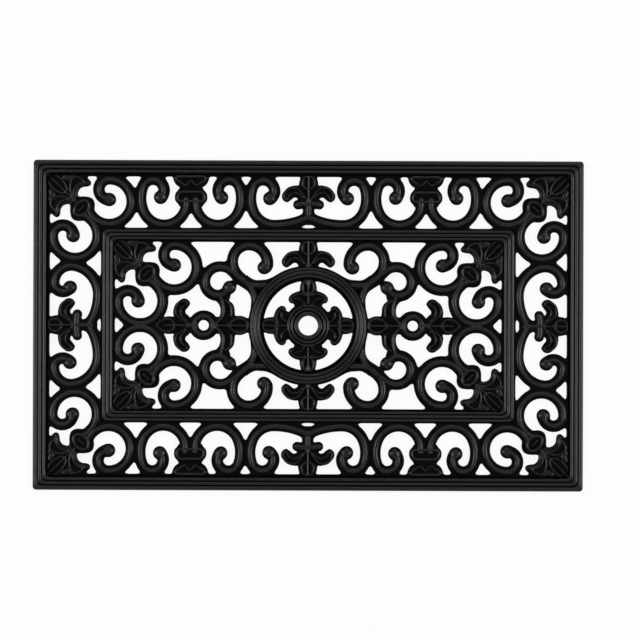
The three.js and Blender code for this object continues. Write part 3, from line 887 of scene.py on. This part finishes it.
def add_motifs(material):
    """The ornament's pieces, each of one quarter, of the two beside an axis, or of all four."""
    ways = {"back_right": (1, 1), "back_left": (-1, 1), "front_left": (-1, -1), "front_right": (1, -1)}
    for name, (points, faces) in motif_meshes().items():
        if name == "centre_rosette":
            parts = [mirrored(points, faces, *way) for way in ways.values()]
            add_relief_piece(name, parts, material)
        elif name.endswith("_back"):
            for side, way_y in (("back", 1), ("front", -1)):
                parts = [mirrored(points, faces, way_x, way_y) for way_x in (1, -1)]
                add_relief_piece(name.replace("back", side), parts, material)
        elif name.endswith("_right"):
            for side, way_x in (("right", 1), ("left", -1)):
                parts = [mirrored(points, faces, way_x, way_y) for way_y in (1, -1)]
                add_relief_piece(name.replace("right", side), parts, material)
        else:
            for quarter, way in ways.items():
                add_relief_piece(f"{name}_{quarter}", [mirrored(points, faces, *way)], material)


# Mouldings: ribs as centre and half width, in shares of the moulding's width
OUTER_RIBS = [[0.16, 0.15], [0.457, 0.129], [0.738, 0.133]]
INNER_RIBS = [[0.17, 0.15], [0.485, 0.152], [0.79, 0.14]]
RING_RIBS = [[0.16, 0.13], [0.43, 0.132], [0.715, 0.138]]


def ribbed(share, ribs):
    """The height across a ribbed moulding, by the share of its width."""
    first, last = ribs[0], ribs[-1]
    between = (share > first[0]) & (share < last[0])
    base = np.where(between, groove, flange)
    heights = [base + (thickness - base) * crown((share - middle) / half) for middle, half in ribs]
    return np.max(heights, axis=0)


def edge_drop(distance):
    """How far a rounded upper edge has dropped, by the distance inside the edge."""
    near_edge = np.clip(edge_round - distance, 0, edge_round)
    return edge_round - np.sqrt(edge_round**2 - near_edge**2)


def rail_columns(reach_x, width):
    """Shares of a rail's half length, close together near its mitres."""
    mitre_run = 2 * width
    close = np.arange(0, mitre_run, spacing)
    far = np.linspace(mitre_run, reach_x, rail_steps)
    ends = np.concatenate([close, far])
    return np.concatenate([ends - reach_x, (reach_x - ends)[-2::-1]]) / reach_x


def rail(reach_x, reach_y, width, ribs, rounded):
    """The rail along the back, mitred at both ends, and rounded at its outer corners and edge if
    it is the outer one: its corners and faces."""
    across = breaks(np.array([0, edge_round, width]))
    columns = rail_columns(reach_x, width)
    offset, column = np.meshgrid(across, columns, indexing="ij")
    x = column * (reach_x - offset)
    y = reach_y - offset
    turned = smooth_least(reach_x - np.abs(x), offset, rail_turn)
    z = ribbed(np.clip(turned / width, 0, 1), ribs)
    if rounded:
        z = z - edge_drop(offset)
        centre_x, centre_y = reach_x - corner_radius, reach_y - corner_radius
        out_x, out_y = np.abs(x) - centre_x, y - centre_y
        beyond = np.hypot(out_x, out_y)
        radius = corner_radius - offset
        pull = np.where((out_x > 0) & (out_y > 0) & (beyond > radius), radius / beyond, 1)
        x = np.where(pull < 1, np.sign(x) * (centre_x + out_x * pull), x)
        y = np.where(pull < 1, centre_y + out_y * pull, y)
    top = np.stack([x, y, z], axis=-1)
    return grid_solid(top)


def grid_solid(top):
    """A closed body under a grid of corners, down to the floor."""
    rows, columns = top.shape[:2]
    floor = top * [1, 1, 0]
    corners = np.concatenate([top.reshape(-1, 3), floor.reshape(-1, 3)])
    index = np.arange(rows * columns).reshape(rows, columns)
    loop = np.concatenate([index[0, :-1], index[:-1, -1], index[-1, :0:-1], index[:0:-1, 0]])
    faces = np.stack([index[:-1, :-1], index[1:, :-1], index[1:, 1:], index[:-1, 1:]], axis=-1)
    top_faces = faces.reshape(-1, 4)
    base = rows * columns
    ahead = np.roll(loop, -1)
    walls = np.stack([loop, ahead, ahead + base, loop + base], axis=1)
    return corners, [*top_faces.tolist(), *walls.tolist(), (loop + base).tolist()]


def add_rails(name, reach_x, reach_y, width, ribs, rounded, material):
    """The four rails of one frame."""
    for near, far, along, across, turned in (
        ("back", "front", reach_x, reach_y, False),
        ("right", "left", reach_y, reach_x, True),
    ):
        corners, faces = rail(along, across, width, ribs, rounded)
        if turned:
            corners = corners[:, [1, 0, 2]] * [1, -1, 1]
        add_piece(f"{name}_{near}", corners, faces, material)
        add_piece(f"{name}_{far}", corners * [-1, -1, 1], faces, material)


def add_ring(material):
    """The medallion's ring, ribbed like the rails."""
    inner = ring_radius - ring_width
    across = breaks(np.array([0, ring_width]))
    radii = ring_radius - across
    angles = np.arange(ring_steps) * 2 * math.pi / ring_steps
    heights = ribbed(across / ring_width, RING_RIBS)
    profile = [(inner, 0.0), (ring_radius, 0.0), *zip(radii, heights)]
    corners = [
        (radius * math.cos(angle), radius * math.sin(angle), z)
        for angle in angles for radius, z in profile
    ]
    size = len(profile)
    faces = []
    for i in range(ring_steps):
        here, ahead = i * size, (i + 1) % ring_steps * size
        for k in range(size):
            after = (k + 1) % size
            faces.append([here + k, ahead + k, ahead + after, here + after])
    add_piece("centre_ring", corners, faces, material)


# Material and stage

# Rubber: its colours at the darkest and palest of the mottle and on the crests, where it is painted
# paler, partly as rubbing and partly as painted light, so that the recesses below hold painted shade;
# how far below the mat's top this paling begins and the polish is full, and the ranges of the
# specular level and the roughness
DARK_RUBBER = (0.0011, 0.001, 0.0013, 1)
PALE_RUBBER = (0.0023, 0.002, 0.0026, 1)
RUBBED_AND_LIT_RUBBER = (0.009, 0.0085, 0.0096, 1)
rubbed_and_lit_depth = 0.8
polished_depth = 0.3
POLISH = (0.01, 0.38)
ROUGHNESS = (0.34, 0.44)

# Noises: scale and detail, and the range in which most of their values lie. A bump has a noise,
# a strength and a height in metres.
MOTTLE_NOISE = (55, 4)
SHEEN_NOISE = (140, 3)
NOISE_RANGE = (0.3, 0.7)
GRAIN_BUMP = ((1400, 3), 0.22, 0.0002)
UNEVEN_BUMP = ((160, 2), 0.25, 0.0006)


class Shading:
    """A material's nodes, and the ways in which they are added."""

    def __init__(self, name):
        self.material = bpy.data.materials.new(name)
        self.material.use_nodes = True
        self.nodes = self.material.node_tree.nodes
        self.links = self.material.node_tree.links
        self.place = self.nodes.new("ShaderNodeTexCoord").outputs["Object"]

    def noise(self, scale, detail):
        texture = self.nodes.new("ShaderNodeTexNoise")
        texture.inputs["Scale"].default_value = scale
        texture.inputs["Detail"].default_value = detail
        self.links.new(self.place, texture.inputs["Vector"])
        return texture.outputs["Fac"]

    def spread(self, value, results, values=NOISE_RANGE):
        """A value between the two results, as the given one lies between the two values."""
        mapped = self.nodes.new("ShaderNodeMapRange")
        mapped.inputs["From Min"].default_value = values[0]
        mapped.inputs["From Max"].default_value = values[1]
        mapped.inputs["To Min"].default_value = results[0]
        mapped.inputs["To Max"].default_value = results[1]
        self.links.new(value, mapped.inputs["Value"])
        return mapped.outputs["Result"]

    def mixed(self, factor, low, high):
        """A colour between two, each of which is a colour itself or a node's output."""
        mix = self.nodes.new("ShaderNodeMix")
        mix.data_type = "RGBA"
        self.links.new(factor, mix.inputs["Factor"])
        for socket, colour in (("A", low), ("B", high)):
            target = next(s for s in mix.inputs if s.name == socket and s.type == "RGBA")
            if isinstance(colour, tuple):
                target.default_value = colour
            else:
                self.links.new(colour, target)
        return next(s for s in mix.outputs if s.type == "RGBA")

    def bump(self, noise, strength, distance):
        bump = self.nodes.new("ShaderNodeBump")
        bump.inputs["Strength"].default_value = strength
        bump.inputs["Distance"].default_value = distance
        self.links.new(self.noise(*noise), bump.inputs["Height"])
        return bump


def rubber_material():
    """Black moulded rubber: a faint grain, uneven sheen, and crests painted a little paler, partly as
    rubbing and partly as painted light, with painted shade in the recesses below them.
    """
    shading = Shading("black_rubber")
    links = shading.links
    shader = shading.nodes["Principled BSDF"]
    parts = shading.nodes.new("ShaderNodeSeparateXYZ")
    links.new(shading.place, parts.inputs["Vector"])
    top = thickness / METRE

    mottle = shading.spread(shading.noise(*MOTTLE_NOISE), (0, 1))
    flange_colour = shading.mixed(mottle, DARK_RUBBER, PALE_RUBBER)
    # Paler towards the crests: partly rubbing, partly painted light, which leaves painted shade in the
    # recesses
    rubbed_and_lit_from = (thickness - rubbed_and_lit_depth) / METRE
    rubbed_and_lit = shading.spread(parts.outputs["Z"], (0, 1), (rubbed_and_lit_from, top))
    links.new(shading.mixed(rubbed_and_lit, flange_colour, RUBBED_AND_LIT_RUBBER), shader.inputs["Base Color"])

    polished_to = (thickness - polished_depth) / METRE
    polish = shading.spread(parts.outputs["Z"], POLISH, (flange / METRE, polished_to))
    links.new(polish, shader.inputs["Specular IOR Level"])
    sheen = shading.spread(shading.noise(*SHEEN_NOISE), ROUGHNESS)
    links.new(sheen, shader.inputs["Roughness"])

    grain = shading.bump(*GRAIN_BUMP)
    uneven = shading.bump(*UNEVEN_BUMP)
    links.new(grain.outputs["Normal"], uneven.inputs["Normal"])
    links.new(uneven.outputs["Normal"], shader.inputs["Normal"])
    return shading.material


# The floor: half its side and how far it lies below the mat, in metres, its colour, and how much
# of what the camera sees of it is its own glow
floor_half = 20.0
floor_drop = 0.0003
FLOOR_COLOUR = (0.8, 0.8, 0.8, 1)
floor_glow = 0.9

# The studio: its colour, its strengths low around the mat and overhead, the heights between which
# one turns into the other, and its strength to the camera
STUDIO_COLOUR = (1, 1, 1, 1)
STUDIO_STRENGTHS = (0.12, 0.03)
STUDIO_HEIGHTS = (0.25, 0.85)
seen_strength = 1.0

# Lamps: place and size in metres, and power in watts
LAMPS = {
    "left_light": ((-2.2, 0, 1.55), (0.9, 2.4), 54),
    "right_light": ((2.2, 0, 1.55), (0.9, 2.4), 54),
    "back_light": ((0, 2.2, 1.7), (2.4, 0.9), 22),
    "front_light": ((0, -2.2, 1.7), (2.4, 0.9), 11),
}


def add_floor():
    """A wide white floor, seen nearly white by the camera and still holding the mat's shadow."""
    mesh = bpy.data.meshes.new("floor")
    signs = ((-1, -1), (1, -1), (1, 1), (-1, 1))
    mesh.from_pydata([(x * floor_half, y * floor_half, 0) for x, y in signs], [], [(0, 1, 2, 3)])
    floor = bpy.data.objects.new("floor", mesh)
    floor.location.z = -floor_drop
    bpy.context.collection.objects.link(floor)
    mesh.materials.append(floor_material())


def floor_material():
    """White, and partly its own glow where the camera sees it."""
    material = bpy.data.materials.new("floor")
    material.use_nodes = True
    nodes, links = material.node_tree.nodes, material.node_tree.links
    nodes.clear()
    diffuse = nodes.new("ShaderNodeBsdfDiffuse")
    diffuse.inputs["Color"].default_value = FLOOR_COLOUR
    glow = nodes.new("ShaderNodeEmission")
    seen = nodes.new("ShaderNodeLightPath")
    share = nodes.new("ShaderNodeMath")
    share.operation = "MULTIPLY"
    share.inputs[1].default_value = floor_glow
    links.new(seen.outputs["Is Camera Ray"], share.inputs[0])
    mix = nodes.new("ShaderNodeMixShader")
    links.new(share.outputs[0], mix.inputs["Fac"])
    links.new(diffuse.outputs[0], mix.inputs[1])
    links.new(glow.outputs[0], mix.inputs[2])
    output = nodes.new("ShaderNodeOutputMaterial")
    links.new(mix.outputs[0], output.inputs["Surface"])
    return material


def add_light(name, location, size, power):
    """A rectangular lamp that faces the middle of the mat."""
    lamp = bpy.data.lights.new(name, "AREA")
    lamp.shape = "RECTANGLE"
    lamp.size, lamp.size_y = size
    lamp.energy = power
    light = bpy.data.objects.new(name, lamp)
    light.location = location
    light.rotation_euler = (-Vector(location)).to_track_quat("-Z", "Y").to_euler()
    bpy.context.collection.objects.link(light)


def add_world():
    """A studio that is dim overhead and bright low around the mat, and white to the camera."""
    world = bpy.data.worlds.new("studio")
    world.use_nodes = True
    nodes, links = world.node_tree.nodes, world.node_tree.links
    background = nodes["Background"]
    background.inputs["Color"].default_value = STUDIO_COLOUR
    parts = nodes.new("ShaderNodeSeparateXYZ")
    links.new(nodes.new("ShaderNodeTexCoord").outputs["Generated"], parts.inputs["Vector"])
    level = nodes.new("ShaderNodeMapRange")
    level.interpolation_type = "SMOOTHSTEP"
    level.inputs["From Min"].default_value = STUDIO_HEIGHTS[0]
    level.inputs["From Max"].default_value = STUDIO_HEIGHTS[1]
    level.inputs["To Min"].default_value = STUDIO_STRENGTHS[0]
    level.inputs["To Max"].default_value = STUDIO_STRENGTHS[1]
    links.new(parts.outputs["Z"], level.inputs["Value"])
    seen = nodes.new("ShaderNodeLightPath")
    strength = nodes.new("ShaderNodeMapRange")
    strength.inputs["To Max"].default_value = seen_strength
    links.new(level.outputs["Result"], strength.inputs["To Min"])
    links.new(seen.outputs["Is Camera Ray"], strength.inputs["Value"])
    links.new(strength.outputs["Result"], background.inputs["Strength"])
    bpy.context.scene.world = world


def add_camera():
    """Straight above the mat, where the photograph was taken from."""
    image_side = 640
    mat_pixels = 550.7
    middle_pixel = (308.2, 325.7)
    tilt_degrees = 0.2
    lens, sensor = 200.0, 36.0
    millimetres_per_pixel = 2 * half_length / mat_pixels
    away = image_side * millimetres_per_pixel * lens / sensor + thickness
    data = bpy.data.cameras.new("camera")
    data.lens = lens
    data.sensor_width = sensor
    data.clip_end = 100
    camera = bpy.data.objects.new("camera", data)
    camera.location = Vector((
        (image_side / 2 - middle_pixel[0]) * millimetres_per_pixel,
        (middle_pixel[1] - image_side / 2) * millimetres_per_pixel,
        away,
    )) / METRE
    camera.rotation_euler = (0, 0, math.radians(tilt_degrees))
    bpy.context.collection.objects.link(camera)
    bpy.context.scene.camera = camera


# The mat and its stage

rubber = rubber_material()
add_rails("outer_rail", half_length, half_width, half_length - border_outer_x, OUTER_RIBS, True, rubber)
add_rails("inner_rail", border_inner_x, border_inner_y, border_inner_x - field_x, INNER_RIBS, False, rubber)
add_ring(rubber)
add_motifs(rubber)
add_floor()
add_world()
for lamp_name, lamp in LAMPS.items():
    add_light(lamp_name, *lamp)
add_camera()
bpy.context.scene.view_settings.view_transform = "Standard"
